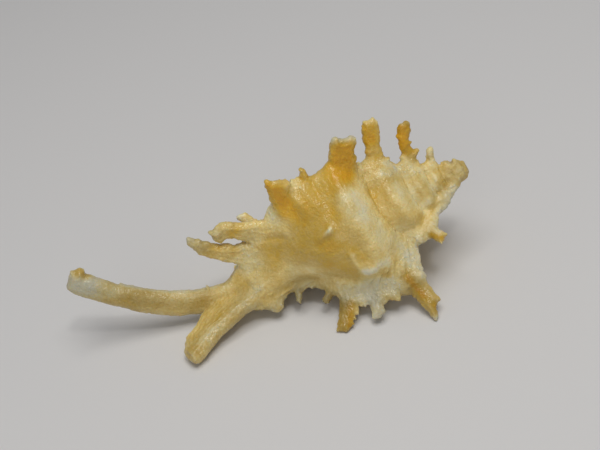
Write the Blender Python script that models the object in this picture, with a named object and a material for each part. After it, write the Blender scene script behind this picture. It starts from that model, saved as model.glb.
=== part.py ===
"""A small spiny murex shell, grown as one piece, lying aperture down.

Shell coordinates: "along" is the distance from the apex down the axis, "out" is the distance
from the axis, both in millimetres, and "turn" is the angle round the axis in degrees, 0 straight
up and positive towards the front (-Y). The shell grows towards smaller turns. The part's own
frame has +Z up, +X towards the apex, and its origin under the middle of the shell.
"""
import math
from collections import namedtuple

import bmesh
import bpy
from mathutils import Vector

MM = 0.001

# Pose of the axis: the apex point above the floor, and how much the axis climbs towards it.
APEX_X = 24.9
APEX_Y = 0.0
APEX_Z = 11.15
AXIS_RISE = math.radians(15.4)

# Growth: every length of the whorl grows by this factor in one full turn.
GROWTH_PER_TURN = 1.56
WHORLS = 7
FULL_TURN = 360.0
TOP_TURN = -4.0
LIP_TURN = -124.0

# Whorl outline between two varices, at the growth stage of the top varix: (along, out).
WHORL_OUTLINE = (
    (10.4, 3.2), (10.9, 4.4), (11.5, 5.3), (12.4, 6.4), (13.4, 7.3), (14.6, 7.95),
    (15.8, 7.9), (17.0, 7.5), (18.8, 7.4), (20.6, 7.0), (22.4, 6.1), (24.2, 4.7),
    (26.0, 3.5), (28.0, 2.7), (30.2, 2.0), (31.6, 1.2),
)
# The neck narrows into the canal here, whatever the growth stage: (along, out).
NECK_OUTLINE = ((24.0, 9.0), (26.5, 5.6), (28.5, 3.9), (30.5, 2.4), (32.0, 1.5), (33.4, 0.2))
# The blunt first whorl that closes the apex, a ball of half this length.
APEX_RADIUS = 1.35
APEX_LENGTH = 2.4
SHELL_END = 33.4
# The whorl surface is kept off the axis by this much, and its two ends at the lip apart by this.
LEAST_RADIUS = 0.05
LIP_GAP_TURN = 0.01

# Height of a varix over the whorl, at the growth stage of the top varix: (along, height).
TOP_VARIX_HEIGHTS = (
    (10.4, 0.2), (11.2, 1.2), (12.4, 2.0), (14.0, 2.0), (15.6, 1.5), (17.0, 1.5), (18.2, 2.7),
    (21.8, 2.8), (23.6, 2.4), (25.1, 2.4), (27.5, 2.2), (29.1, 1.2), (31.0, 0.2),
)
FRONT_VARIX_HEIGHTS = (
    (10.4, 0.4), (11.2, 2.0), (12.4, 3.3), (14.0, 3.4), (17.0, 4.0), (19.0, 4.2), (21.8, 3.8),
    (23.6, 3.4), (25.1, 1.8), (27.5, 1.7), (29.1, 0.9), (31.0, 0.2),
)
LIP_VARIX_HEIGHTS = (
    (10.4, 0.2), (11.2, 0.8), (12.4, 1.3), (17.0, 1.5), (21.8, 1.7), (25.1, 1.3), (27.5, 1.1),
    (29.1, 0.6), (31.0, 0.1),
)
SPIRE_VARIX_HEIGHTS = ((10.4, 0.3), (11.2, 1.8), (12.4, 2.9), (14.0, 3.0), (17.0, 3.4))
# A varix dies away over this turn on its older side, and faster on its younger side.
OLD_SIDE_SPREAD = 34.0
LEAST_SHARE = 0.01

Varix = namedtuple("Varix", "turn heights young_side")
VARICES = (
    Varix(-118.0, LIP_VARIX_HEIGHTS, 6.0),
    Varix(-4.0, TOP_VARIX_HEIGHTS, 6.0),
    Varix(119.0, FRONT_VARIX_HEIGHTS, 15.0),
) + tuple(Varix(turn, SPIRE_VARIX_HEIGHTS, 9.0)
          for turn in (232.0, 344.0, 473.0, 590.0, 703.0, 830.0, 946.0, 1062.0))

# Low knobs between the varices of the last whorl.
Knob = namedtuple("Knob", "along turn height spread")
KNOBS = (
    Knob(15.2, 87.0, 1.0, 2.3),
    Knob(13.4, 34.0, 0.5, 1.8),
    Knob(17.3, 46.0, 0.45, 0.7),
    Knob(16.8, -58.0, 0.7, 1.7),
    Knob(18.0, -86.0, 0.7, 1.7),
)

# Spines: the turn of root and tip, root and tip points (along, out), widths in the plane of
# the varix, thickness across it, and how far the middle bows towards the canal end.
Spine = namedtuple("Spine", "turn tip_turn root tip root_width tip_width thickness bow")
SPINES = (
    # Top varix of the last whorl, from the shoulder to the old canal.
    Spine(-4, -4, (13.9, 6.4), (11.0, 11.8), 3.7, 3.3, 1.7, 0.0),
    Spine(-4, -4, (17.5, 8.4), (16.95, 10.9), 1.5, 0.7, 1.0, 0.0),
    Spine(4, 0, (21.1, 7.0), (20.35, 11.5), 1.9, 3.3, 1.5, 0.0),
    Spine(-4, -4, (23.7, 4.8), (30.1, 9.45), 2.4, 1.6, 1.5, -0.4),
    Spine(-26, -30, (24.0, 5.2), (26.1, 8.1), 1.6, 1.2, 1.1, 0.0),
    Spine(-4, -4, (28.2, 2.4), (32.8, 10.15), 3.4, 1.3, 1.6, 0.5),
    # Front varix of the last whorl.
    Spine(119, 124, (12.7, 7.8), (11.3, 14.2), 3.2, 2.4, 1.6, 0.0),
    Spine(119, 119, (14.3, 9.2), (14.4, 11.2), 1.2, 0.7, 0.9, 0.0),
    Spine(119, 119, (17.0, 8.2), (17.45, 11.6), 1.7, 1.4, 1.1, 0.0),
    Spine(119, 118, (19.2, 6.2), (21.9, 11.1), 2.4, 2.0, 1.3, 0.1),
    Spine(119, 119, (20.9, 4.6), (22.4, 7.1), 1.3, 1.0, 0.9, 0.0),
    Spine(119, 119, (24.0, 2.4), (24.8, 4.8), 1.1, 0.7, 0.8, 0.0),
    Spine(119, 119, (27.0, 1.6), (28.0, 4.7), 2.4, 2.1, 1.8, 0.0),
    Spine(119, 119, (28.2, 1.4), (28.9, 3.4), 1.7, 1.4, 1.5, 0.0),
    # Lip varix, under and behind.
    Spine(-118, -122, (14.2, 8.0), (12.9, 13.9), 3.3, 2.4, 1.6, 0.0),
    Spine(-117, -116, (17.2, 8.6), (17.2, 11.5), 1.5, 1.0, 1.0, 0.0),
    Spine(-117, -111, (20.2, 7.6), (20.8, 12.3), 2.4, 1.9, 1.3, 0.0),
    Spine(-116, -110, (23.8, 5.2), (26.4, 9.7), 2.0, 1.4, 1.2, 0.2),
    Spine(-114, -104, (27.4, 2.4), (31.2, 6.5), 1.9, 1.2, 1.2, 0.2),
    # Varices of the spire.
    Spine(-16, -16, (9.3, 5.0), (7.3, 11.1), 2.5, 2.0, 1.4, 0.0),
    Spine(-17, -17, (5.9, 3.0), (3.95, 8.8), 2.1, 1.8, 1.2, 0.4),
    Spine(-19, -19, (3.5, 1.6), (2.7, 4.5), 1.3, 1.0, 0.9, 0.0),
    Spine(113, 113, (7.4, 4.0), (6.3, 7.3), 2.1, 1.7, 1.2, 0.0),
    Spine(110, 110, (3.9, 1.8), (3.4, 3.7), 1.3, 1.1, 1.0, 0.0),
    Spine(110, 110, (2.3, 0.9), (1.9, 2.4), 1.1, 0.9, 0.9, 0.0),
    Spine(232, 232, (9.9, 4.2), (8.9, 9.6), 2.2, 1.7, 1.2, 0.0),
    Spine(230, 230, (6.2, 2.6), (5.4, 6.2), 1.6, 1.2, 1.0, 0.0),
    Spine(228, 228, (3.9, 1.6), (3.4, 3.8), 1.2, 0.9, 0.9, 0.0),
)

# Canals: centre points (along, out, turn) and widths from base to tip.
Canal = namedtuple("Canal", "points widths flatness")
CANALS = (
    Canal(((27.5, 0.6, 168), (32.0, 0.6, -12), (37.6, 2.1, -12), (41.1, 4.6, -12),
           (43.9, 7.4, -12), (47.8, 12.3, -12)), (4.0, 3.0, 2.9, 2.8, 2.6, 2.3), 0.9),
    Canal(((24.0, 0.8, 90), (27.5, 1.2, 90), (31.4, 2.0, 88), (35.4, 3.9, 87), (38.7, 7.1, 88)),
          (1.5, 3.6, 4.3, 3.6, 3.4), 0.72),
)

# The mouth: an oval in the plane through the axis, at the growth stage of the lip.
MOUTH_ALONG = 19.4
MOUTH_OUT = 4.7
MOUTH_HALF_LENGTH = 4.4
MOUTH_HALF_WIDTH = 3.8
MOUTH_DEPTH_TURN = 120.0
MOUTH_FLARE_TURN = 26.0
MOUTH_RINGS = 15
MOUTH_TAPER_POWER = 3
MOUTH_END_SHARE = 0.02

# Mesh fineness.
TURN_STEP = 3.0
ALONG_STEP = 0.3
SECTION_SIDES = 16
SPINE_RINGS = 9
SPINE_THINNING = 0.25
CANAL_RINGS_PER_POINT = 6
VOXEL = 0.34
SMOOTHING_ROUNDS = 3
SMOOTHING_STRENGTH = 0.5
DECIMATE_RATIO = 0.19

SHELL_COLOUR = (0.62, 0.50, 0.26, 1.0)
SHELL_ROUGHNESS = 0.38


def interpolate(points, x):
    """Straight-line interpolation through (x, y) points, held level past both ends."""
    if x <= points[0][0]:
        return points[0][1]
    for (x0, y0), (x1, y1) in zip(points, points[1:]):
        if x <= x1:
            return y0 + (y1 - y0) * (x - x0) / (x1 - x0)
    return points[-1][1]


def shell_point(along, out, turn):
    """World position, in metres, of a point given in shell coordinates."""
    angle = math.radians(turn)
    up = out * math.cos(angle)
    side = out * math.sin(angle)
    rise = AXIS_RISE
    x = APEX_X - along * math.cos(rise) - up * math.sin(rise)
    y = APEX_Y - side
    z = APEX_Z - along * math.sin(rise) + up * math.cos(rise)
    return Vector((x, y, z)) * MM


def growth(turn):
    """Size of the whorl at an unwound turn, as a multiple of its size at the top varix."""
    return GROWTH_PER_TURN ** ((TOP_TURN - turn) / FULL_TURN)


def varix_height(turn, stage_along):
    """Height of the varices over the whorl at an unwound turn, before growth is applied."""
    height = 0.0
    for varix in VARICES:
        past = turn - varix.turn
        if past >= 0.0:
            share = 0.5 + 0.5 * math.cos(math.pi * min(past / OLD_SIDE_SPREAD, 1.0))
        else:
            share = math.exp(-(past / varix.young_side) ** 2)
        if share > LEAST_SHARE:
            height = max(height, share * interpolate(varix.heights, stage_along))
    return height


def knob_height(along, turn, out):
    """Height of the low knobs of the last whorl."""
    height = 0.0
    for knob in KNOBS:
        sideways = math.radians(turn - knob.turn) * out
        distance = math.hypot(sideways, along - knob.along) / knob.spread
        height += knob.height * math.exp(-distance ** 2)
    return height


def whorl_radius(along, turn):
    """Outer radius of the last and all earlier whorls together."""
    radius = 0.0
    if along < APEX_LENGTH:
        across = 2.0 * along / APEX_LENGTH - 1.0
        radius = APEX_RADIUS * math.sqrt(max(1.0 - across ** 2, 0.0))
    for whorl in range(WHORLS):
        unwound = turn + FULL_TURN * whorl
        size = growth(unwound)
        stage_along = along / size
        if stage_along < WHORL_OUTLINE[0][0]:
            continue
        out = interpolate(WHORL_OUTLINE, stage_along) + varix_height(unwound, stage_along)
        out *= size
        if whorl == 0:
            out += knob_height(along, turn, out)
        radius = max(radius, out)
    if along > NECK_OUTLINE[0][0]:
        radius = min(radius, interpolate(NECK_OUTLINE, along))
    return radius


def add_tube(mesh, rings, closed_ends=True):
    """Join equal rings of points into a tube with flat ends."""
    ring_verts = [[mesh.verts.new(point) for point in ring] for ring in rings]
    sides = len(rings[0])
    for ring, following in zip(ring_verts, ring_verts[1:]):
        for i in range(sides):
            j = (i + 1) % sides
            mesh.faces.new((ring[i], ring[j], following[j], following[i]))
    if closed_ends:
        mesh.faces.new(list(reversed(ring_verts[0])))
        mesh.faces.new(ring_verts[-1])


def add_whorls(mesh):
    """The whorls with their varices and knobs, as rings across the axis."""
    ring_count = int(SHELL_END / ALONG_STEP)
    turn_count = int(FULL_TURN / TURN_STEP)
    rings = []
    for i in range(1, ring_count):
        along = SHELL_END * i / ring_count
        ring = []
        for j in range(turn_count + 1):
            turn = LIP_TURN + min(FULL_TURN * j / turn_count, FULL_TURN - LIP_GAP_TURN)
            out = max(whorl_radius(along, turn), LEAST_RADIUS)
            ring.append(shell_point(along, out, turn))
        rings.append(ring)
    add_tube(mesh, rings)


def catmull_rom(points, share):
    """Point on a smooth curve through a list of vectors, share running from 0 to 1."""
    place = share * (len(points) - 1)
    i = min(int(place), len(points) - 2)
    f = place - i
    before = points[i - 1] if i > 0 else 2 * points[0] - points[1]
    after = points[i + 2] if i + 2 < len(points) else 2 * points[-1] - points[-2]
    a, b = points[i], points[i + 1]
    return 0.5 * (2 * a + (b - before) * f + (2 * before - 5 * a + 4 * b - after) * f ** 2
                  + (3 * a - before - 3 * b + after) * f ** 3)


def add_sweep(mesh, centres, across, widths, thicknesses):
    """Sweep an oval section along centre points; across points out of the plane of the varix."""
    rings = []
    for i, centre in enumerate(centres):
        ahead = centres[min(i + 1, len(centres) - 1)] - centres[max(i - 1, 0)]
        side = across.cross(ahead).normalized()
        front = ahead.cross(side).normalized()
        ring = []
        for k in range(SECTION_SIDES):
            angle = 2.0 * math.pi * k / SECTION_SIDES
            offset = side * (0.5 * widths[i] * math.cos(angle))
            offset += front * (0.5 * thicknesses[i] * math.sin(angle))
            ring.append(centre + offset * MM)
        rings.append(ring)
    add_tube(mesh, rings)


def add_spine(mesh, spine):
    """One spine, tapering from its root to a cut-off tip."""
    root = shell_point(*spine.root, spine.turn)
    tip = shell_point(*spine.tip, spine.tip_turn)
    across = shell_point(0.0, 1.0, spine.turn + 90.0) - shell_point(0.0, 0.0, 0.0)
    towards_canal = shell_point(1.0, 0.0, 0.0) - shell_point(0.0, 0.0, 0.0)
    centres, widths, thicknesses = [], [], []
    for i in range(SPINE_RINGS):
        share = i / (SPINE_RINGS - 1)
        bow = spine.bow * math.sin(math.pi * share)
        centres.append(root.lerp(tip, share) + towards_canal * bow)
        widths.append(spine.root_width + (spine.tip_width - spine.root_width) * share)
        thicknesses.append(spine.thickness * (1.0 - SPINE_THINNING * share))
    add_sweep(mesh, centres, across, widths, thicknesses)


def add_canal(mesh, canal):
    """A canal tube through its centre points."""
    points = [shell_point(*point) for point in canal.points]
    rings = CANAL_RINGS_PER_POINT * len(points)
    centres = [catmull_rom(points, i / (rings - 1)) for i in range(rings)]
    width_points = [(i / (len(points) - 1), w) for i, w in enumerate(canal.widths)]
    widths = [interpolate(width_points, i / (rings - 1)) for i in range(rings)]
    thicknesses = [w * canal.flatness for w in widths]
    across = shell_point(0.0, 1.0, canal.points[-1][2] + 90.0) - shell_point(0.0, 0.0, 0.0)
    add_sweep(mesh, centres, across, widths, thicknesses)


def add_mouth(mesh):
    """The hollow of the mouth: an oval that follows the whorl back inside."""
    rings = []
    for i in range(MOUTH_RINGS):
        share = i / (MOUTH_RINGS - 1)
        turn = LIP_TURN - MOUTH_FLARE_TURN + (MOUTH_DEPTH_TURN + MOUTH_FLARE_TURN) * share
        size = growth(turn) / growth(LIP_TURN)
        narrowing = math.sqrt(max(1.0 - share ** MOUTH_TAPER_POWER, MOUTH_END_SHARE))
        ring = []
        for k in range(SECTION_SIDES):
            angle = 2.0 * math.pi * k / SECTION_SIDES
            along = MOUTH_ALONG + MOUTH_HALF_LENGTH * narrowing * math.cos(angle)
            out = MOUTH_OUT + MOUTH_HALF_WIDTH * narrowing * math.sin(angle)
            ring.append(shell_point(along * size, out * size, turn))
        rings.append(ring)
    add_tube(mesh, rings)


def new_object(name, build, *arguments):
    """A mesh object whose mesh is filled by the given function."""
    mesh = bpy.data.meshes.new(name)
    shape = bmesh.new()
    build(shape, *arguments)
    bmesh.ops.recalc_face_normals(shape, faces=shape.faces)
    shape.to_mesh(mesh)
    shape.free()
    item = bpy.data.objects.new(name, mesh)
    bpy.context.scene.collection.objects.link(item)
    return item


def add_all(mesh):
    """Every overlapping solid that the shell is fused from."""
    add_whorls(mesh)
    for spine in SPINES:
        add_spine(mesh, spine)
    for canal in CANALS:
        add_canal(mesh, canal)


def shell_material():
    """Pale waxy cream, slightly glossy."""
    material = bpy.data.materials.new("cream_shell")
    material.use_nodes = True
    surface = material.node_tree.nodes["Principled BSDF"]
    surface.inputs["Base Color"].default_value = SHELL_COLOUR
    surface.inputs["Roughness"].default_value = SHELL_ROUGHNESS
    surface.inputs["Metallic"].default_value = 0.0
    material.diffuse_color = SHELL_COLOUR
    return material


def fuse(shell, mouth):
    """Fuse the overlapping solids, smooth the joints, hollow the mouth and thin out the mesh."""
    remesh = shell.modifiers.new("fuse", "REMESH")
    remesh.mode = "VOXEL"
    remesh.voxel_size = VOXEL * MM
    soften = shell.modifiers.new("soften", "SMOOTH")
    soften.factor = SMOOTHING_STRENGTH
    soften.iterations = SMOOTHING_ROUNDS
    thin = shell.modifiers.new("thin", "DECIMATE")
    thin.ratio = DECIMATE_RATIO
    hollow = shell.modifiers.new("mouth", "BOOLEAN")
    hollow.operation = "DIFFERENCE"
    hollow.object = mouth
    mouth.hide_render = True
    mouth.display_type = "WIRE"


def main():
    for item in list(bpy.data.objects):
        bpy.data.objects.remove(item)
    shell = new_object("murex_shell", add_all)
    mouth = new_object("mouth_cutter", add_mouth)
    shell.data.materials.append(shell_material())
    fuse(shell, mouth)


main()
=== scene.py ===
"""Looks of a small spiny murex shell, lying aperture down on a pale floor.

The shell is worked out as a field of distances, negative inside, on a grid of cells, and its surface
is the mesh where the field crosses zero. All lengths are in millimetres unless a name says otherwise.

Shell coordinates: "along" is the distance from the apex down the axis, "out" is the distance from the
axis, and "turn" is the angle round the axis in degrees, 0 straight up and positive towards the front.
The grid's three directions are along the axis, "up" (turn 0) and "side" (turn 90). The shell grows
towards smaller turns, so the young side of a varix is its side of smaller turns.
"""

import math
from collections import namedtuple

import bpy
import numpy as np
from mathutils import Matrix, Vector


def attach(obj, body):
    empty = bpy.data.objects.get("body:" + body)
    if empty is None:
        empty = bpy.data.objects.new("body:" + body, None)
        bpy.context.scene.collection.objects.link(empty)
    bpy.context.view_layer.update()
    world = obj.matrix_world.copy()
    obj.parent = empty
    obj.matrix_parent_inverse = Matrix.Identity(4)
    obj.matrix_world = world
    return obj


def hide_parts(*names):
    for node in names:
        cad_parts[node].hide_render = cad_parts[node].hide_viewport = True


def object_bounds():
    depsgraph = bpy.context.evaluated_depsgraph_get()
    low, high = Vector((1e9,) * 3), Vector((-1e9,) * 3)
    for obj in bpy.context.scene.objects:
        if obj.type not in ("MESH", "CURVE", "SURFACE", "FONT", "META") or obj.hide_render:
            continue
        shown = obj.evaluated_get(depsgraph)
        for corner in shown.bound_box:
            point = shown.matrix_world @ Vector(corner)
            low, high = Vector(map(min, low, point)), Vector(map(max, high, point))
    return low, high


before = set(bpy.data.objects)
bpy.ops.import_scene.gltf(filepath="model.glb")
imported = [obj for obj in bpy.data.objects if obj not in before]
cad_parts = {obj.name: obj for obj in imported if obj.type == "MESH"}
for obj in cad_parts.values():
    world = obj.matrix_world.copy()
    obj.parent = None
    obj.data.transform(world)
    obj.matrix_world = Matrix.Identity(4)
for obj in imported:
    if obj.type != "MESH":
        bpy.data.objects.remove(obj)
CAD_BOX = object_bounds()

MM = 0.001

# Pose of the shell's axis, as in the solid model.
APEX = (24.9, 0.0, 11.15)
AXIS_RISE = math.radians(15.4)

# Growth of the whorls, as in the solid model.
GROWTH_PER_TURN = 1.56
WHORLS = 7
FULL_TURN = 360.0
TOP_TURN = -4.0
LIP_TURN = -124.0

# Whorl outline between two varices, at the growth stage of the top varix: (along, out).
FIRST_STAGE = 10.4
WHORL_OUTLINE = (
    (10.4, 5.0), (10.9, 5.5), (11.5, 6.0), (12.4, 6.75), (13.4, 7.4), (14.6, 7.95), (15.8, 7.9),
    (17.0, 7.5), (18.8, 7.4), (20.6, 7.0), (22.4, 6.1), (24.2, 4.9), (26.0, 3.9), (28.0, 3.1),
    (30.2, 2.2), (31.6, 1.3),
)
# The neck narrows into the canal here, whatever the growth stage: (along, out).
NECK_OUTLINE = ((24.0, 9.0), (26.5, 5.8), (28.5, 4.05), (30.5, 2.55), (32.0, 1.6), (33.4, 0.3))
# The blunt first whorl that closes the apex, a ball of half this length.
APEX_RADIUS = 1.35
APEX_LENGTH = 2.4
SHELL_END = 33.4

# Height of the varices over the whorl at the growth stage of the top varix: (along, height).
TOP_VARIX_HEIGHTS = (
    (10.4, 0.2), (11.2, 1.0), (12.4, 1.7), (14.0, 1.7), (15.6, 1.3), (17.0, 1.2), (18.2, 2.1),
    (21.8, 2.2), (23.6, 1.6), (25.1, 1.6), (27.5, 1.5), (29.1, 0.9), (31.0, 0.2),
)
FRONT_VARIX_HEIGHTS = (
    (10.4, 0.3), (11.2, 1.6), (12.4, 2.6), (14.0, 2.5), (17.0, 2.6), (19.0, 2.6), (21.8, 2.3),
    (23.6, 1.9), (25.1, 1.0), (27.5, 0.75), (29.1, 0.5), (31.0, 0.2),
)
LIP_VARIX_HEIGHTS = (
    (10.4, 0.2), (11.2, 0.8), (12.4, 1.3), (17.0, 1.5), (21.8, 1.7), (25.1, 1.3), (27.5, 1.1),
    (29.1, 0.6), (31.0, 0.1),
)
SPIRE_VARIX_HEIGHTS = ((10.4, 0.3), (11.2, 1.6), (12.4, 2.5), (14.0, 2.6), (17.0, 3.0))
# Varices: turn, heights, and how far the young side slopes, in degrees. The old side slopes further.
OLD_SIDE_SPREAD = 34.0
Varix = namedtuple("Varix", "turn heights young_side")
VARICES = (
    Varix(-118.0, LIP_VARIX_HEIGHTS, 6.0),
    Varix(-4.0, TOP_VARIX_HEIGHTS, 6.0),
    Varix(119.0, FRONT_VARIX_HEIGHTS, 14.0),
) + tuple(Varix(turn, SPIRE_VARIX_HEIGHTS, 9.0)
          for turn in (232.0, 344.0, 473.0, 590.0, 703.0, 830.0, 946.0, 1062.0))

# Between its varices each whorl starts further down: turn, and how much further.
SUTURE_SAG = (
    (-20, 0.1), (-4, 0.5), (10, 1.0), (20, 1.25), (45, 1.7), (75, 1.75), (92, 1.65), (104, 1.2),
    (119, 0.4), (135, 0.0),
)
# How far down the whorl that reaches, how soft the suture is, and over what length a whorl starts.
SAG_REACH = 2.4
SUTURE_BLEND = 1.0
WHORL_EDGE = 0.25

# Knobs and dents of the last whorl.
Knob = namedtuple("Knob", "along turn height spread")
KNOBS = (
    Knob(15.3, 90.0, 1.1, 2.1),
    Knob(15.7, 94.0, 0.3, 0.85),
    Knob(13.4, 30.0, 0.5, 1.8),
    Knob(15.4, -50.0, -0.4, 3.2),
    Knob(19.2, -62.0, 0.6, 1.7),
    Knob(18.0, -86.0, 0.7, 1.7),
)

# Folds and hollows of the last whorl: a line of (along, turn) points, height and half width.
Fold = namedtuple("Fold", "points height width")
FOLDS = (
    Fold(((19.3, 1), (19.4, 7), (19.2, 12)), 0.28, 0.55),
    Fold(((19.3, 1), (19.4, 7), (19.0, 14), (18.8, 20)), 0.2, 0.5),
    Fold(((20.6, 4), (20.6, 12), (20.0, 20)), -0.2, 0.8),
    Fold(((17.3, 41.5), (17.6, 43.5)), 0.4, 0.42),
    Fold(((17.6, 43.5), (18.9, 45)), 0.2, 0.36),
    Fold(((16.8, 72), (16.9, 79), (16.6, 90)), 0.18, 0.38),
    Fold(((15.5, 75), (15.6, 81)), -0.32, 0.95),
    Fold(((19.4, 98), (18.0, 105), (16.5, 110.5), (15.5, 111.5), (14.4, 110), (13.2, 107),
          (12.2, 105)), -0.26, 0.6),
    Fold(((19.7, 91), (18.1, 98)), 0.08, 0.4),
    Fold(((19.7, 51), (18.5, 48)), -0.2, 0.4),
    Fold(((29.8, 52), (28.3, 62), (26.6, 74)), 0.5, 1.0),
    Fold(((5.8, 84), (6.5, 93), (7.6, 88)), 0.36, 0.7),
    Fold(((24.8, 0), (23.6, 4), (22.2, 15)), 0.2, 0.3),
    Fold(((25.1, 3), (23.9, 7), (22.2, 20)), 0.18, 0.28),
    Fold(((25.7, 4), (24.5, 9), (23.0, 20)), -0.1, 0.25),
    Fold(((25.8, 7), (24.6, 13), (23.0, 23)), 0.12, 0.3),
    Fold(((11.6, 97), (11.9, 104), (12.4, 111)), 0.12, 0.22),
    Fold(((14.8, 6), (15.4, 18), (16.4, 30)), -0.1, 0.6),
    Fold(((17.9, 3), (17.8, 10), (17.4, 20)), 0.24, 0.8),
)

# Growth lines (pitch in degrees of turn), spiral cords and swellings of the whorls.
LINE_PITCH = 3.4
LINE_HEIGHT = 0.03
FINE_LINE_PITCH = 1.6
FINE_LINE_HEIGHT = 0.02
CORD_PITCH = 0.66
CORD_HEIGHT = 0.008
SWELLING_HEIGHT = 0.08

# Flutes across the front varix: pitch and height, and where they are, in degrees of turn. The slant
# is in millimetres to a degree.
FLUTE_PITCH = 0.8
FLUTE_HEIGHT = 0.14
FLUTE_SLANT = 0.1
FLUTE_TURN = 113.0
FLUTE_SPREAD = 8.0

# How far from its plane a blade or groove is looked for.
PLANE_REACH = 1.6
# A blade's edge wanders by WANDER, ridges follow it, and teeth stand on it to TOOTH_DEPTH inside. The
# scales are lumps and teeth to a millimetre. Over SOFT_FADE the teeth set in beyond soft_until.
WANDER = 0.05
WANDER_SCALE = 2.3
TOOTH_SCALE = 3.6
TOOTH_SCALE_ACROSS = 2.0
TOOTH_DEPTH = 0.35
RIDGE_PITCH = 0.52
RIDGE_WAVINESS = 1.6
SOFT_FADE = 2.5

# Blades: flat growths that stand in a plane through the axis. Each outline is (along, out). Up to
# the distance soft_until a blade has no teeth, and its join is as soft as root_blend.
ROOT_BLEND = 0.7
BLADE_PARTS = "turn outline half_thickness rounding ridges blend teeth root_blend soft_until"
Blade = namedtuple("Blade", BLADE_PARTS, defaults=(ROOT_BLEND, 0.16, 0.0, 0.0))
TOP_BLADE = (
    (28.6, 2.0), (29.4, 3.7), (30.6, 4.9), (31.6, 6.1), (32.7, 7.5), (32.9, 8.7), (33.1, 9.5),
    (32.8, 10.3), (32.5, 10.2), (32.1, 9.5), (31.6, 9.2), (30.8, 8.0), (30.1, 7.2), (29.3, 6.8),
    (28.5, 6.1), (27.0, 5.6), (27.6, 6.5), (27.9, 7.0), (28.4, 7.4), (28.9, 7.6), (29.6, 7.4),
    (30.0, 7.8), (30.2, 8.2), (30.1, 8.8), (30.3, 9.4), (29.5, 9.4), (28.8, 9.6), (28.3, 9.7),
    (27.5, 9.2), (26.8, 8.6), (25.8, 8.1), (24.7, 7.6), (24.1, 7.1), (23.5, 7.5), (22.8, 8.2),
    (21.7, 8.9), (21.1, 9.25), (20.1, 9.4), (19.2, 9.8), (18.7, 10.2), (18.3, 9.9), (18.0, 10.1),
    (17.7, 9.8), (17.2, 10.9), (17.0, 10.9), (16.7, 10.5), (16.7, 9.6), (16.5, 9.1), (15.9, 9.0),
    (14.9, 9.1), (14.3, 9.6), (13.9, 9.8), (13.5, 10.5), (12.8, 11.7), (12.2, 12.4), (11.7, 12.3),
    (11.4, 11.7), (11.0, 11.5), (10.3, 11.5), (9.8, 10.9), (10.1, 10.3), (10.6, 9.8), (10.8, 9.3),
    (10.8, 8.6), (11.2, 8.0), (11.8, 6.6), (12.0, 5.0), (16.0, 5.0), (24.0, 3.5),
)
SHOULDER_BLADE = (
    (21.4, 6.0), (22.0, 8.0), (21.9, 9.9), (21.6, 11.1), (21.6, 11.7), (21.2, 12.5), (21.0, 12.4),
    (20.8, 12.2), (20.1, 11.9), (19.4, 11.3), (18.9, 10.8), (19.1, 10.1), (19.9, 8.8), (20.2, 6.0),
)
BACK_THORN = (
    (26.1, 5.0), (26.4, 6.3), (26.9, 7.7), (26.9, 8.0), (26.3, 8.2), (25.7, 8.0), (25.4, 7.4),
    (25.0, 6.6), (24.5, 5.0),
)
SLIT_LIP = (
    (11.6, 6.0), (11.3, 6.9), (11.1, 7.6), (10.8, 7.5), (10.7, 6.9), (10.4, 6.2),
)
SECOND_BLADE = (
    (10.9, 5.6), (10.6, 6.4), (10.2, 6.5), (9.8, 6.9), (9.6, 7.3), (9.7, 7.8), (9.3, 8.2), (9.3, 8.9),
    (9.2, 9.6), (8.9, 9.9), (8.9, 10.3), (8.4, 10.8), (8.2, 11.3), (7.4, 11.1), (6.9, 11.0), (6.6, 10.5),
    (6.8, 9.7), (7.2, 8.6), (7.7, 7.6), (7.9, 6.5), (7.9, 6.0), (7.4, 5.8), (7.8, 5.4), (7.5, 4.9),
    (7.2, 3.4), (9.0, 3.0),
)
THIRD_BLADE = (
    (7.2, 3.8), (6.6, 4.4), (6.3, 4.6), (6.3, 5.1), (5.9, 5.4), (5.8, 6.0), (5.6, 6.8), (5.6, 7.6),
    (5.2, 8.0), (5.1, 8.4), (4.7, 8.8), (4.1, 8.7), (3.6, 8.6), (3.5, 7.9), (3.6, 7.5), (4.1, 7.1),
    (4.4, 6.5), (4.2, 6.0), (4.6, 5.8), (4.5, 5.1), (4.0, 4.8), (4.4, 4.4), (4.7, 4.2), (4.7, 3.4),
    (4.4, 2.4), (5.8, 2.0),
)
FOURTH_BLADE = (
    (4.5, 2.0), (4.1, 2.8), (3.6, 3.2), (3.4, 3.8), (3.1, 4.2), (2.7, 4.3), (2.4, 3.9), (2.6, 3.3),
    (2.7, 2.5), (2.6, 1.8), (2.5, 1.0), (3.6, 0.8),
)
APEX_BLADE = (
    (3.0, 0.4), (2.6, 1.4), (2.3, 1.65), (1.8, 1.75), (1.45, 1.55), (1.2, 1.2), (0.95, 1.35), (0.65, 1.2),
    (0.4, 0.95), (0.15, 0.3), (0.6, -0.3),
)
RIGHT_LUMPS = (
    (0.2, 0.4), (0.4, 1.1), (0.9, 1.1), (1.3, 1.2), (1.6, 1.8), (2.4, 2.1), (2.6, 2.6), (3.2, 2.8),
    (3.6, 3.3), (4.2, 3.4), (5.0, 3.3), (5.7, 3.5), (6.0, 4.6), (6.4, 5.5), (5.8, 6.8), (5.9, 6.9),
    (6.6, 7.2), (6.9, 7.5), (7.4, 6.9), (7.7, 6.2), (8.3, 6.0), (8.7, 6.2), (9.6, 6.0), (9.8, 4.0),
    (6.0, 2.4), (2.0, 0.4),
)
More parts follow.
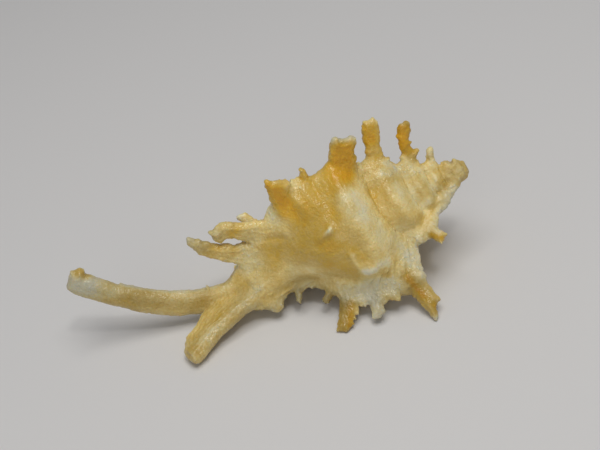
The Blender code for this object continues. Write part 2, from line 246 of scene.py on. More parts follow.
FRONT_BLADE = (
    (9.6, 5.0), (9.7, 6.5), (9.9, 6.9), (10.0, 7.4), (10.4, 8.3), (10.3, 8.7), (10.6, 8.9), (10.5, 9.5),
    (10.9, 9.9), (14.1, 10.0), (14.3, 10.8), (14.6, 10.8), (15.0, 10.5), (15.5, 10.2), (16.0, 10.2),
    (16.4, 10.4), (16.4, 11.0), (16.5, 11.3), (17.3, 11.45), (18.2, 11.4), (18.1, 10.8), (17.9, 10.2),
    (17.8, 9.7), (18.1, 9.3), (18.3, 9.5), (18.5, 9.2), (18.8, 9.3), (19.0, 9.0), (19.2, 9.1),
    (19.4, 9.8), (19.9, 9.8), (20.0, 10.2), (20.4, 10.1), (20.4, 10.8), (20.9, 10.8), (21.4, 11.2),
    (21.8, 11.1), (22.3, 10.7), (22.7, 10.5), (22.0, 9.6), (21.4, 8.7), (20.9, 7.8), (20.7, 7.3),
    (20.8, 6.7), (21.1, 6.4), (21.6, 6.6), (22.1, 6.8), (22.5, 6.8), (22.5, 6.2), (22.0, 5.8),
    (21.7, 5.6), (21.8, 5.0), (22.0, 4.9), (22.2, 4.5), (22.4, 4.5), (22.6, 4.1), (23.0, 4.2),
    (23.3, 3.8), (23.8, 3.9), (24.3, 4.1), (24.6, 4.6), (25.1, 5.2), (25.3, 4.8), (25.0, 3.7),
    (25.4, 3.1), (26.0, 3.0), (26.4, 3.5), (26.8, 3.7), (27.1, 4.6), (27.8, 4.9), (28.4, 4.6),
    (28.9, 3.7), (29.4, 3.2), (29.4, 1.5), (24.0, 1.5), (18.0, 4.0), (12.0, 4.0),
)
FRONT_SHOULDER_SPINE = (
    (10.6, 7.6), (10.6, 8.8), (10.5, 9.4), (10.7, 9.9), (10.5, 11.3), (10.2, 12.5), (10.3, 12.8),
    (10.8, 13.0), (11.1, 13.6), (11.3, 14.3), (11.7, 14.8), (12.0, 14.7), (12.1, 14.0), (12.4, 12.8),
    (12.6, 11.5), (12.9, 10.7), (13.3, 10.4), (13.7, 10.2), (14.3, 8.0), (12.0, 6.5),
)
LONG_CANAL = (
    (28.0, 1.6), (30.6, 1.9), (31.4, 1.7), (32.2, 1.8), (33.2, 2.1), (34.0, 2.3), (34.2, 2.9),
    (34.5, 2.5), (35.8, 3.0), (37.1, 3.7), (38.3, 4.4), (39.5, 5.3), (40.7, 6.3), (41.5, 7.1),
    (41.7, 7.4), (42.2, 7.8), (42.8, 8.5), (43.1, 8.4), (43.8, 9.4), (44.4, 10.2), (45.1, 11.2),
    (45.6, 11.7), (45.4, 12.4), (45.7, 12.8), (46.0, 12.8), (46.4, 12.8), (46.9, 13.0), (48.2, 11.7),
    (48.4, 11.4), (48.1, 10.4), (47.3, 9.3), (46.3, 8.1), (45.2, 6.8), (44.2, 5.7), (42.8, 4.1),
    (41.1, 2.6), (40.0, 1.7), (38.9, 0.9), (38.3, 0.7), (37.0, 0.0), (35.9, -0.5), (33.2, -1.1),
    (30.0, -1.6), (27.0, -1.8),
)
OLD_CANAL = (
    (33.5, -0.6), (35.2, 0.6), (36.6, 1.3), (37.2, 2.2), (38.0, 3.1), (39.0, 3.7), (39.1, 4.1),
    (39.5, 4.8), (39.4, 5.4), (39.8, 5.7), (39.6, 6.6), (39.2, 7.5), (38.8, 8.2), (38.5, 8.2),
    (37.3, 7.4), (36.0, 6.4), (34.9, 5.6), (33.4, 5.0), (32.2, 4.5), (31.3, 4.1), (30.3, 4.0),
    (28.6, 3.4), (26.5, 2.6), (24.0, 1.8), (24.0, 0.6), (28.0, -0.6),
)
BLADES = (
    Blade(-4.0, TOP_BLADE, 0.72, 0.6, 0.03),
    Blade(1.0, SHOULDER_BLADE, 0.75, 0.7, 0.03),
    Blade(-30.0, BACK_THORN, 0.5, 0.6, 0.0),
    Blade(-8.0, SLIT_LIP, 0.3, 0.4, 0.0),
    Blade(-16.0, SECOND_BLADE, 0.62, 0.55, 0.015),
    Blade(-17.0, THIRD_BLADE, 0.55, 0.5, 0.02),
    Blade(-19.0, FOURTH_BLADE, 0.45, 0.6, 0.0),
    Blade(-25.0, APEX_BLADE, 0.9, 0.5, 0.0, 0.3, 0.3),
    Blade(112.0, RIGHT_LUMPS, 0.7, 0.8, 0.02, 0.5, 0.2),
    Blade(119.0, FRONT_BLADE, 0.6, 0.8, 0.03),
    Blade(123.5, FRONT_SHOULDER_SPINE, 0.75, 0.9, 0.02, 1.3),
    Blade(-12.0, LONG_CANAL, 1.05, 1.05, 0.015, 0.7, 0.05),
    Blade(88.0, OLD_CANAL, 1.0, 0.95, 0.05, 0.25, 0.06, 2.6, 31.5),
)

# Spines that the blades leave out: turn of root and tip, root and tip points (along, out), widths
# in the plane of the varix and thickness across it.
Spine = namedtuple("Spine", "turn tip_turn root tip root_width tip_width thickness")
SPINES = (
    Spine(-118, -122, (14.2, 7.0), (12.9, 13.7), 3.3, 2.4, 1.6),
    Spine(-117, -116, (17.2, 7.6), (17.2, 11.5), 1.5, 1.0, 1.0),
    Spine(-117, -111, (20.2, 6.6), (20.8, 12.2), 2.4, 1.9, 1.3),
    Spine(-116, -110, (23.8, 4.2), (26.3, 9.6), 2.0, 1.4, 1.2),
    Spine(-114, -104, (27.2, 1.8), (31.0, 6.4), 1.9, 1.2, 1.2),
    Spine(232, 232, (9.9, 3.4), (8.9, 9.5), 2.2, 1.7, 1.2),
    Spine(230, 230, (6.2, 2.0), (5.4, 6.1), 1.6, 1.2, 1.0),
    Spine(228, 228, (3.9, 1.0), (3.4, 3.8), 1.2, 0.9, 0.9),
)

# How far out the smooth spines start: (along, out).
SPINE_ROOTS = (
    (0.0, 2.5), (3.0, 3.4), (5.0, 5.2), (8.0, 7.2), (11.0, 9.6), (18.0, 9.8), (24.0, 9.0), (28.0, 6.6),
    (34.0, 20.0),
)

# Height of the notches along a spine's edges, and how uneven and how round its tip is.
SPINE_TEETH = 0.12
TIP_UNEVENNESS = 0.25
TIP_ROUNDING = 0.15

# Grooves down the young side of a spine: turn, root and tip (along, out), and width. They flare from
# a share of that width at the root.
GROOVE_FLARE = 1.3
GROOVE_ROUNDING = 0.2
Groove = namedtuple("Groove", "turn root tip width")
GROOVES = (
    Groove(-4.0, (13.2, 8.6), (11.7, 11.0), 0.8),
    Groove(1.0, (21.0, 8.5), (20.3, 12.6), 1.2),
    Groove(-4.0, (25.5, 7.2), (30.4, 9.2), 0.8),
    Groove(-4.0, (29.0, 4.6), (32.8, 10.2), 0.8),
    Groove(-16.0, (9.0, 6.6), (7.4, 11.4), 0.9),
    Groove(-17.0, (5.4, 5.0), (4.4, 9.0), 0.8),
    Groove(-121.0, (13.9, 9.0), (12.8, 14.0), 1.1),
    Groove(-114.0, (20.3, 8.6), (20.8, 12.6), 0.9),
    Groove(-113.0, (24.4, 5.8), (26.4, 10.0), 0.7),
    Groove(232.0, (9.6, 5.4), (8.9, 9.8), 0.8),
)
# The narrow slit of the canal, on the side of the mouth.
CANAL_SLIT = (
    Groove(-12.0, (25.0, 2.0), (33.0, 0.7), 0.7),
    Groove(-12.0, (33.0, 0.7), (39.0, 3.2), 0.7),
    Groove(-12.0, (39.0, 3.2), (43.5, 7.2), 0.65),
    Groove(-12.0, (43.5, 7.2), (46.9, 11.4), 0.6),
)
# The notch in the top of the apex.
APEX_NOTCH = Groove(-25.0, (1.15, 1.5), (1.05, 2.2), 0.5)

# Streaks of colour, painted one over the other: start and end (along, out, turn), width, and
# warmth, from bluish white at 0 through cream and tan to deep orange at 1.
STREAKS = (
    ((14.1, 8.8, 10), (17.8, 7.2, 32), 2.3, 0.74), ((10.9, 6.9, -5), (13.5, 7.7, 27), 1.25, 0.21),
    ((13.4, 7.7, 35), (12.4, 6.7, 78), 1.6, 0.23), ((14.2, 7.9, 31), (13.9, 7.9, 37), 0.5, 0.4),
    ((19.1, 6.9, 30), (18.3, 6.6, 71), 2.0, 0.74), ((17.1, 9.3, 0), (17.4, 7.8, 19), 1.0, 0.78),
    ((22.9, 4.8, 35), (21.3, 5.3, 57), 1.1, 0.68), ((24.1, 4.9, 20), (22.7, 5.8, 19), 1.0, 0.62),
    ((20.7, 7.6, 10), (19.0, 7.0, 28), 1.0, 0.77), ((28.0, 4.7, 5), (28.6, 2.4, 29), 1.5, 0.34),
    # In the next line, both marks paint the hollows low on the front of the last whorl paler: painted
    # light against their shade.
    ((24.4, 3.6, 60), (23.4, 3.4, 84), 0.9, 0.42), ((21.9, 4.4, 81), (19.8, 5.2, 98), 0.9, 0.4),
    ((10.5, 6.1, 105), (10.6, 8.8, 117), 1.3, 0.08), ((13.7, 9.2, 115), (19.5, 6.8, 112), 1.2, 0.18),
    ((20.9, 5.5, 110), (23.2, 3.8, 109), 0.6, 0.4), ((10.3, 4.6, 85), (9.6, 5.6, 107), 0.9, 0.32),
    ((9.6, 5.4, 9), (10.4, 4.4, 64), 1.2, 0.57), ((8.2, 4.1, 25), (8.3, 4.5, 60), 0.85, 0.32),
    ((7.3, 2.9, 41), (7.2, 3.5, 75), 0.6, 0.26), ((7.2, 4.5, -13), (6.9, 3.0, 28), 0.7, 0.36),
    ((10.1, 6.8, -10), (8.8, 6.1, -10), 0.6, 0.4), ((8.2, 5.6, -9), (7.3, 5.0, -6), 0.55, 0.05),
    ((10.9, 6.0, -1), (10.4, 5.3, 9), 0.6, 0.48), ((9.0, 5.3, 4), (7.5, 4.4, -3), 0.6, 0.2),
    ((11.5, 5.6, 6), (11.3, 5.4, 11), 0.4, 0.4), ((5.1, 2.8, 5), (4.7, 2.3, 82), 1.0, 0.28),
    # In the next line, the second mark paints a hollow by the spire pale: painted light against its
    # shade.
    ((6.0, 3.2, 18), (5.6, 3.0, 48), 0.6, 0.45), ((7.0, 3.2, 92), (5.9, 2.9, 80), 0.5, 0.14),
    ((2.7, 1.6, -3), (2.3, 1.6, 83), 0.8, 0.53), ((1.1, 1.4, 23), (0.6, 1.2, 58), 0.8, 0.46),
    ((3.4, 1.9, 60), (3.0, 1.9, 78), 0.5, 0.74), ((2.6, 2.4, 111), (4.4, 3.6, 114), 0.8, 0.18),
    ((5.3, 3.8, 111), (6.6, 5.6, 107), 0.7, 0.27), ((19.0, 10.1, -6), (18.6, 9.5, 3), 0.8, 0.4),
    ((18.9, 9.6, 4), (18.7, 9.0, 8), 0.5, 0.3), ((22.4, 8.6, -4), (22.8, 7.0, 6), 0.9, 0.26),
    ((11.8, 11.0, -1), (13.0, 8.4, 3), 1.5, 1.05), ((12.2, 12.3, -4), (9.9, 11.1, -4), 0.5, 0.1),
    ((12.8, 11.6, -4), (13.6, 10.2, -2), 0.3, 0.7), ((20.7, 11.4, 5), (20.8, 8.4, 6), 0.9, 1.05),
    ((20.6, 8.2, 10), (20.2, 7.8, 13), 0.6, 0.84), ((18.4, 9.0, 7), (18.3, 7.8, 20), 0.7, 0.8),
    ((20.6, 12.1, 2), (19.3, 11.0, 3), 0.4, 0.62), ((21.2, 12.3, 3), (21.5, 11.4, 3), 0.4, 0.88),
    ((7.7, 10.6, -13), (8.6, 8.3, -11), 1.1, 0.9), ((8.6, 8.0, -11), (8.9, 7.2, -11), 0.6, 0.68),
    ((7.8, 11.2, -16), (6.7, 10.7, -15), 0.4, 0.45), ((4.4, 8.4, -14), (5.6, 6.2, -13), 1.3, 1.05),
    ((4.4, 8.8, -16), (3.6, 8.4, -16), 0.2, 0.5), ((6.2, 4.8, -13), (5.6, 3.8, -3), 0.6, 0.32),
    ((2.8, 4.1, -15), (3.2, 3.0, -11), 0.7, 0.33), ((8.1, 6.2, 112), (6.8, 7.3, 112), 0.5, 0.35),
    ((7.5, 6.1, 108), (6.6, 7.1, 109), 0.3, 0.95), ((12.3, 9.1, 115), (11.4, 13.9, 123), 0.9, 0.66),
    ((12.4, 9.0, 115), (11.2, 13.2, 123), 0.35, 1.0), ((12.0, 14.6, 123), (11.6, 14.7, 123), 0.45, 0.12),
    ((20.7, 8.8, 116), (21.8, 10.7, 118), 0.8, 0.66), ((19.7, 8.6, 115), (21.0, 10.6, 118), 0.4, 0.92),
    ((17.0, 9.2, 116), (17.4, 11.1, 118), 1.0, 0.13), ((17.1, 10.7, -3), (17.2, 9.9, -1), 0.5, 0.78),
    ((14.5, 7.9, 107), (14.3, 8.0, 109), 0.35, 0.62), ((14.3, 7.9, 93), (13.4, 7.6, 96), 0.6, 0.15),
    ((24.8, 3.9, 113), (25.2, 4.9, 117), 0.5, 0.36), ((21.8, 6.2, 115), (22.5, 6.6, 117), 0.5, 0.4),
    ((28.7, 4.1, 116), (26.9, 4.0, 118), 0.7, 0.34), ((29.2, 9.5, -3), (24.6, 6.7, 3), 0.7, 0.53),
    ((26.4, 8.2, -30), (25.9, 6.8, -28), 0.6, 0.28), ((27.9, 8.1, 1), (27.4, 8.1, 1), 0.5, 0.76),
    ((30.2, 9.4, -3), (29.3, 9.3, -2), 0.5, 0.42), ((31.8, 8.8, 0), (28.9, 5.7, 2), 0.7, 0.54),
    ((32.7, 10.2, -3), (32.4, 9.6, -1), 0.5, 0.34), ((24.6, 6.7, 3), (22.5, 6.5, 15), 0.7, 0.5),
    ((26.3, 5.2, 8), (24.6, 5.1, 15), 0.4, 0.6), ((27.4, 5.4, 1), (25.7, 5.8, 3), 0.7, 0.36),
    ((29.7, 2.4, 44), (32.7, 2.2, 21), 0.6, 0.56), ((32.8, 1.9, 19), (31.0, 2.0, 8), 0.6, 0.38),
    ((45.4, 8.9, -4), (35.2, 2.3, 31), 1.2, 0.54), ((44.3, 8.0, -3), (42.8, 6.8, -1), 0.5, 0.66),
    ((42.6, 6.1, 0), (40.1, 4.2, 6), 0.5, 0.6), ((35.3, 2.2, 36), (34.0, 2.3, 47), 0.7, 0.66),
    ((40.2, 5.9, -14), (31.1, 2.3, 45), 0.4, 0.33), ((45.2, 9.8, -7), (43.9, 8.6, -5), 1.1, 0.3),
    ((44.6, 10.6, -12), (41.5, 7.1, -12), 0.35, 0.24), ((41.5, 7.1, -12), (37.1, 3.7, -12), 0.35, 0.24),
    # In the next line, the first mark paints the long canal's tip bluish white: partly its pale colour,
    # partly a painted reflection.
    ((37.1, 3.7, -12), (33.0, 2.2, -12), 0.35, 0.28), ((47.8, 12.1, -11), (46.2, 10.8, -6), 1.4, 0.05),
    ((46.0, 12.9, -9), (45.5, 11.8, -11), 0.5, 0.74), ((37.9, 7.2, 80), (29.5, 3.8, 81), 1.2, 0.47),
    ((36.9, 6.5, 79), (28.0, 2.9, 65), 0.5, 0.34), ((37.2, 7.5, 84), (31.5, 4.2, 78), 0.2, 0.6),
    ((39.0, 7.0, 81), (38.5, 6.7, 78), 0.5, 0.66), ((35.5, 6.3, 86), (32.2, 4.9, 86), 0.4, 0.62),
    # In the next line, the second mark is a painted highlight: the bluish white spot on the big knob.
    ((16.4, 7.0, 69), (15.8, 7.0, 80), 0.7, 0.74), ((16.2, 7.6, 94), (15.3, 7.8, 95), 0.55, 0.02),
    ((16.6, 7.3, 74), (16.7, 7.6, 85), 0.3, 0.42), ((18.4, 7.4, 44), (17.3, 7.6, 42), 0.34, 0.22),
)
# The same colours on the side that lies away from the front.
FAR_STREAKS = (
    ((18.6, 7.4, -24), (19.2, 6.6, -96), 2.6, 0.68), ((12.2, 6.6, -18), (12.4, 6.4, -104), 1.2, 0.32),
    ((22.8, 5.6, -20), (23.4, 4.6, -90), 1.2, 0.5), ((16.8, 8.8, -58), (17.6, 8.6, -72), 0.9, 0.24),
    ((26.0, 4.8, -22), (27.6, 3.4, -80), 1.2, 0.4), ((14.2, 8.6, -116), (20.0, 7.4, -116), 1.0, 0.74),
    ((14.2, 7.6, -128), (24.0, 5.4, -126), 0.9, 0.12), ((13.7, 9.4, -119), (13.1, 12.2, -121), 1.1, 0.95),
    ((17.2, 9.6, -117), (17.2, 10.8, -116), 0.6, 0.8), ((20.4, 8.6, -115), (20.6, 11.2, -112), 0.8, 0.88),
    ((24.6, 5.6, -114), (25.7, 8.4, -111), 0.7, 0.74), ((9.7, 4.6, -20), (9.4, 4.4, -100), 1.0, 0.6),
    ((9.4, 5.6, -128), (9.0, 8.6, -128), 0.8, 0.82), ((6.0, 3.0, -20), (5.6, 2.8, -110), 0.8, 0.38),
    ((5.9, 3.6, -130), (5.5, 5.6, -130), 0.6, 0.84), ((20.7, 11.6, -6), (20.8, 8.6, -6), 0.7, 1.0),
    ((12.2, 11.0, -9), (12.8, 8.8, -12), 1.2, 0.86),
)
# Painted shade and painted light, as streaks with a brightness: darker canal and spine tips, lighter
# hollows.
PAINTED_LIGHT_AND_SHADE = (
    ((48.2, 12.4, -11), (36.0, 2.9, 12), 2.2, 0.74), ((47.8, 12.2, -11), (41.0, 5.0, -2), 1.8, 0.84),
    ((38.9, 7.6, 80), (31.0, 3.8, 78), 1.7, 0.73), ((8.8, 4.8, 15), (5.6, 3.2, 60), 2.0, 0.86),
    ((11.9, 10.8, 119), (11.4, 14.5, 123), 1.3, 0.7), ((20.6, 8.2, 115), (21.8, 11.0, 118), 1.1, 0.6),
    ((16.9, 9.8, 116), (17.3, 11.3, 118), 0.9, 0.66), ((24.8, 4.1, 114), (25.2, 5.1, 117), 0.8, 0.55),
    ((21.8, 6.4, 115), (22.5, 6.8, 117), 0.8, 0.62), ((28.7, 4.2, 116), (26.9, 4.2, 118), 1.0, 0.65),
    ((0.8, 1.0, 60), (4.4, 3.6, 114), 1.5, 0.78), ((19.0, 7.0, 32), (18.3, 6.6, 72), 2.6, 0.84),
    ((23.6, 4.8, 30), (23.0, 4.8, 50), 1.8, 0.9), ((28.8, 2.8, 62), (26.2, 3.1, 44), 1.0, 0.91),
    ((13.3, 7.2, 76), (13.2, 7.5, 36), 1.4, 0.93), ((22.0, 4.6, 84), (17.6, 7.0, 82), 1.0, 1.1),
    ((27.6, 4.9, 8), (29.0, 2.8, 40), 2.2, 0.88), ((13.7, 9.6, 116), (21.5, 7.0, 115), 1.5, 0.68),
    ((22.4, 5.2, 112), (24.2, 3.6, 111), 1.3, 0.68), ((10.4, 6.1, 104), (10.8, 8.8, 117), 2.0, 0.8),
    ((12.2, 12.4, -4), (9.9, 11.1, -4), 0.8, 0.72), ((4.4, 8.8, -16), (3.6, 8.4, -16), 0.9, 0.76),
    ((30.2, 9.3, -3), (29.2, 8.8, -2), 0.9, 0.74), ((32.8, 10.0, -3), (31.6, 8.4, -1), 0.9, 0.66),
    ((8.2, 4.4, -16), (6.4, 5.0, 10), 1.2, 0.88), ((7.6, 6.4, 108), (6.6, 7.3, 113), 0.9, 0.85),
    ((14.6, 8.3, 16), (13.8, 8.0, 35), 1.2, 0.9), ((5.0, 5.6, -12), (5.0, 4.5, -9), 0.7, 0.87),
    ((6.2, 3.2, 86), (5.7, 3.2, 92), 0.8, 1.09), ((28.5, 4.2, 6), (29.9, 2.4, 9), 0.9, 1.12),
    ((14.4, 9.8, 116), (14.6, 9.2, 115), 0.7, 0.9), ((6.9, 5.6, 105), (6.3, 5.4, 108), 0.8, 0.86),
    ((20.5, 9.2, 6), (20.9, 7.4, 12), 0.9, 1.07), ((3.1, 4.2, -14), (3.0, 3.4, -10), 0.6, 0.91),
)
# Warmth under the streaks, how much of it they cover, and how a mark fades at its edges.
BASE_WARMTH = 0.52
STREAK_COVER = 0.96
MARK_SPREAD = 1.2
MARK_FALL = 2.6
# Crests are paler. They stand over the surface averaged over a number of rounds.
LEVEL_ROUNDS = 14
CREST_HEIGHT = 0.12

# The lip, where the newest whorl ends: from where on the whorl before it shows, and how far the lip
# is looked for, in degrees from the lip, and how round its edge is.
LIP_COVERS = 60.0
LIP_REACH = 90.0
LIP_ROUNDING = 0.3

# The mouth: an oval in the plane through the axis, at the growth stage of the lip.
MOUTH_ALONG = 19.4
MOUTH_OUT = 4.7
MOUTH_HALF_LENGTH = 4.4
MOUTH_HALF_WIDTH = 3.7
MOUTH_FIRST_TURN = -150.0
MOUTH_LAST_TURN = -4.0
MOUTH_BOX = ((9.0, -10.6, -13.4), (26.0, 10.0, 10.0))
# Its rim, with small crimps all round.
RIM_OFFSET = 0.25
RIM_REACH = 40.0
CRIMPS = 22.0
CRIMP_HEIGHT = 0.10
RIM_RADIUS = 0.42

# Rough bands along the crests of the varices and across the neck: middle and spread, in degrees of
# turn, but for the neck in millimetres along. The canals: where the long one starts to be smooth, and
# the turn of the old one.
TOP_BAND = (2.0, 12.0)
FRONT_BAND = (112.0, 10.0)
SPIRE_BAND = (-12.0, 9.0)
LIP_BAND = (-118.0, 10.0)
NECK_BAND = (28.0, 2.2)
CANAL_START = 30.5
OLD_CANAL_TURN = 84.0

# Lumps, bumps and grains of the surface: random seed, size, least height, and how much is added on
# the spire, or for the grains on the rough bands.
RELIEF = (
    (31, 1.5, 0.035, 0.12),
    (33, 0.75, 0.022, 0.13),
    (35, 0.38, 0.018, 0.035),
)

# The grid, its edges in its three directions, and a distance that stands for far outside.
CELL = 0.14
GRID_LOW = (-1.0, -10.6, -13.4)
GRID_HIGH = (49.6, 14.2, 14.2)
AXES = [np.arange(low, high, CELL, dtype=np.float32) for low, high in zip(GRID_LOW, GRID_HIGH)]
FAR = 9.0
# Steps of the tables that the field is looked up in: degrees round the axis, and across a blade.
TURN_STEP = 0.4
TABLE_STEP = 0.06
TABLE_MARGIN = 2.0
# Most rounds in which pinches are filled, and how deep, and how many triangles are left at last.
PINCH_ROUNDS = 8
PINCH_FILL = 0.02
MOST_TRIANGLES = 194000


def lattice_noise(seed, *coordinates):
    """Smooth noise from -1 to 1 with features one unit apart, in one, two or three dimensions."""
    size = 32
    values = np.random.default_rng(seed).uniform(-1.0, 1.0, (size,) * len(coordinates))
    cells, shares = [], []
    for c in coordinates:
        floor = np.floor(c)
        f = c - floor
        cells.append(floor.astype(int))
        shares.append(f * f * (3.0 - 2.0 * f))
    total = 0.0
    for corner in range(2 ** len(coordinates)):
        weight, index = 1.0, []
        for axis, (cell, share) in enumerate(zip(cells, shares)):
            high = corner >> axis & 1
            weight = weight * (share if high else 1.0 - share)
            index.append((cell + high) % size)
        total = total + weight * values[tuple(index)]
    return total


def smooth_union(a, b, blend):
    """The lower of two fields, with the crease between them filled."""
    near = np.maximum(blend - np.abs(a - b), 0.0)
    return np.minimum(a, b) - near * near / (4.0 * blend)


def smooth_cut(a, b, blend):
    """Field a with field b taken out of it, and the edge rounded."""
    return -smooth_union(-a, b, blend)


def interpolate(points, x):
    """Value at x of a line through (x, value) points."""
    points = np.asarray(points)
    return np.interp(x, points[:, 0], points[:, 1])


def spot_noise(seed, points, size):
    """Lattice noise at points of the shell, with lumps of about a size in millimetres."""
    return lattice_noise(seed, *(points / size).T)


def rising(x, reach):
    """From 0 where x is 0 or less to 1 where it is reach or more."""
    return np.clip(x / reach, 0.0, 1.0)


def hump(x, middle, spread):
    """From 1 where x is in the middle to 0 well away from it."""
    return np.exp(-((x - middle) / spread) ** 2)


def from_segment(x, y, start, end):
    """Offsets of points from the nearest point of a segment, and how far along it that point is."""
    run = end - start
    share = np.clip(((x - start[0]) * run[0] + (y - start[1]) * run[1]) / (run @ run), 0.0, 1.0)
    return x - start[0] - share * run[0], y - start[1] - share * run[1], share


def rounded(outline, width=0.7, step=0.05):
    """An outline (along, out) with its corners rounded off, apart from its first half millimetre."""
    along = np.arange(outline[0][0], outline[-1][0], step)
    out = interpolate(outline, along)
    weights = np.exp(-(np.arange(-2.0 * width, 2.0 * width + step, step) / width) ** 2)
    edge = len(weights) // 2
    soft = np.convolve(np.pad(out, edge, "edge"), weights / weights.sum(), "valid")[:len(out)]
    share = rising(along - along[0] - 0.5, width)
    return np.stack([along, out + (soft - out) * share], axis=1)


def growth(turn):
    """Size of the whorl at an unwound turn, as a multiple of its size at the top varix."""
    return GROWTH_PER_TURN ** ((TOP_TURN - turn) / FULL_TURN)


def varix_height(turn, stage):
    """Height of the varices over the whorl at an unwound turn, before growth is applied."""
    height = np.zeros(np.broadcast(turn, stage).shape)
    for varix in VARICES:
        past = turn - varix.turn
        old = 0.5 + 0.5 * np.cos(math.pi * rising(past, OLD_SIDE_SPREAD))
        young = hump(np.minimum(past, 0.0), 0.0, varix.young_side)
        share = np.where(past >= 0.0, old, young)
        height = np.maximum(height, share * interpolate(varix.heights, stage))
    return height


def whorl_relief(turn, stage):
    """Growth lines, spiral cords and swellings of one whorl, before growth is applied."""
    warp = 5.0 * lattice_noise(3, stage * 0.35, turn / 40.0)
    lines = lattice_noise(5, (turn + warp) / LINE_PITCH, stage * 0.5)
    fine = lattice_noise(7, (turn + warp) / FINE_LINE_PITCH, stage * 0.8)
    drift = 0.4 * lattice_noise(9, stage * 0.6, turn / 25.0)
    cords = np.cos(2.0 * math.pi * (stage + drift) / CORD_PITCH)
    patches = 0.5 + 0.5 * lattice_noise(13, stage * 0.5, turn / 18.0)
    swellings = lattice_noise(15, stage * 0.45, turn / 14.0)
    lined = LINE_HEIGHT * lines + FINE_LINE_HEIGHT * fine
    return lined + CORD_HEIGHT * cords * patches + SWELLING_HEIGHT * swellings


def radius_table(along, turn, first_whorl):
    """Outer radius of the whorls from first_whorl back to the apex."""
    across = np.clip(2.0 * along / APEX_LENGTH - 1.0, -1.0, 1.0)
    radius = APEX_RADIUS * np.sqrt(1.0 - across ** 2) * np.ones_like(turn)
    sag = interpolate(SUTURE_SAG, turn)
    outline = rounded(WHORL_OUTLINE)
    for whorl in range(first_whorl, WHORLS):
        unwound = turn + FULL_TURN * whorl
        size = growth(unwound)
        stage = along / size
        stage = stage - sag * hump(stage - FIRST_STAGE, sag, SAG_REACH)
        out = interpolate(outline, stage) + varix_height(unwound, stage)
        out = (out + whorl_relief(unwound, stage)) * size
        if whorl == 0:
            for knob in KNOBS:
                sideways = np.radians(turn - knob.turn) * out
                distance = np.hypot(sideways, along - knob.along)
                out = out + knob.height * hump(distance, 0.0, knob.spread)
        edge = rising(stage - FIRST_STAGE, WHORL_EDGE)
        whorl_radius = np.where(stage < FIRST_STAGE, 0.0, out * np.sqrt(edge))
        radius = -smooth_union(-radius, -whorl_radius, SUTURE_BLEND)
    neck = interpolate(NECK_OUTLINE, along) + 0.03 * lattice_noise(11, turn / 5.0, along * 0.3)
    radius = np.where(along > NECK_OUTLINE[0][0], np.minimum(radius, neck), radius)
    return radius if first_whorl else radius + fold_heights(along, turn, radius)


def fold_heights(along, turn, radius):
    """Height that the folds and flutes add to the last whorl."""
    height = np.zeros_like(radius)
    wide = np.maximum(radius, 1.0)
    for fold in FOLDS:
        nearest = np.full(radius.shape, np.inf)
        for start, end in zip(fold.points, fold.points[1:]):
            across = np.radians(turn - start[1]) * wide
            step = np.radians(end[1] - start[1]) * wide
            reach = end[0] - start[0]
            share = ((along - start[0]) * reach + across * step) / (reach ** 2 + step ** 2)
            share = np.clip(share, 0.0, 1.0)
            distance = np.hypot(along - start[0] - share * reach, across - share * step)
            nearest = np.minimum(nearest, distance)
        height += fold.height * hump(nearest, 0.0, fold.width)
    pitch = FLUTE_PITCH * (1.0 + 0.12 * lattice_noise(17, along * 0.4))
    flutes = np.cos(2.0 * math.pi * (along - FLUTE_SLANT * (turn - FLUTE_TURN)) / pitch)
    return height + FLUTE_HEIGHT * flutes * hump(turn, FLUTE_TURN, FLUTE_SPREAD)


def box_slices(low, high):
    """Index ranges of the grid cells between two corners."""
    ranges = []
    for axis, a, b in zip(AXES, low, high):
        first = max(int((a - axis[0]) / CELL), 0)
        last = min(int((b - axis[0]) / CELL) + 2, len(axis))
        ranges.append(slice(first, last))
    return tuple(ranges)


def axes_of(slices):
    """Distance along, up and sideways over a box of cells, ready to be combined."""
    a, u, s = (axis[r] for axis, r in zip(AXES, slices))
    return a[:, None, None], u[None, :, None], s[None, None, :]


def add_whorls(field):
    """The whorls with varices, knobs, growth lines and the step down at the lip."""
    rows = box_slices((0.0, GRID_LOW[1], GRID_LOW[2]), (SHELL_END, GRID_HIGH[1], GRID_HIGH[2]))
    a, u, s = axes_of(rows)
    out = np.hypot(u, s)[0]
    turn = (np.degrees(np.arctan2(s, u)) - LIP_TURN)[0] % FULL_TURN
    beside_lip = np.where(turn > 0.5 * FULL_TURN, turn - FULL_TURN, turn)
    wall = out * np.sin(np.radians(beside_lip))
    turns = np.arange(0.0, FULL_TURN + TURN_STEP, TURN_STEP)
    along = a[:, 0, 0][:, None]

    def sampled(table, at):
        column = np.clip(at / TURN_STEP, 0, len(turns) - 1.001)
        low = column.astype(int)
        f = (column - low).astype(np.float32)
        return table[:, low] * (1 - f) + table[:, low + 1] * f

    everything = radius_table(along, turns[None, :] + LIP_TURN, 0).astype(np.float32)
    older = radius_table(along, turns[None, :] + LIP_TURN, 1).astype(np.float32)
    settled = np.where(turns[None, :] < LIP_COVERS, older, everything).astype(np.float32)

    def slope(table):
        steep_along = np.gradient(table, CELL, axis=0)
        steep_turn = np.gradient(table, math.radians(TURN_STEP), axis=1) / np.maximum(table, 0.5)
        return 1.0 / np.sqrt(1.0 + np.minimum(steep_along ** 2 + steep_turn ** 2, 8.0))

    body = (out - sampled(settled, turn)) * sampled(slope(everything), turn)
    behind_lip = np.maximum(beside_lip, 0.0)
    newest = (out - sampled(everything, behind_lip)) * sampled(slope(everything), behind_lip)
    newest = np.where(np.abs(beside_lip) < LIP_REACH, -smooth_union(-newest, wall, LIP_ROUNDING), FAR)
    field[rows] = np.minimum(body, newest)


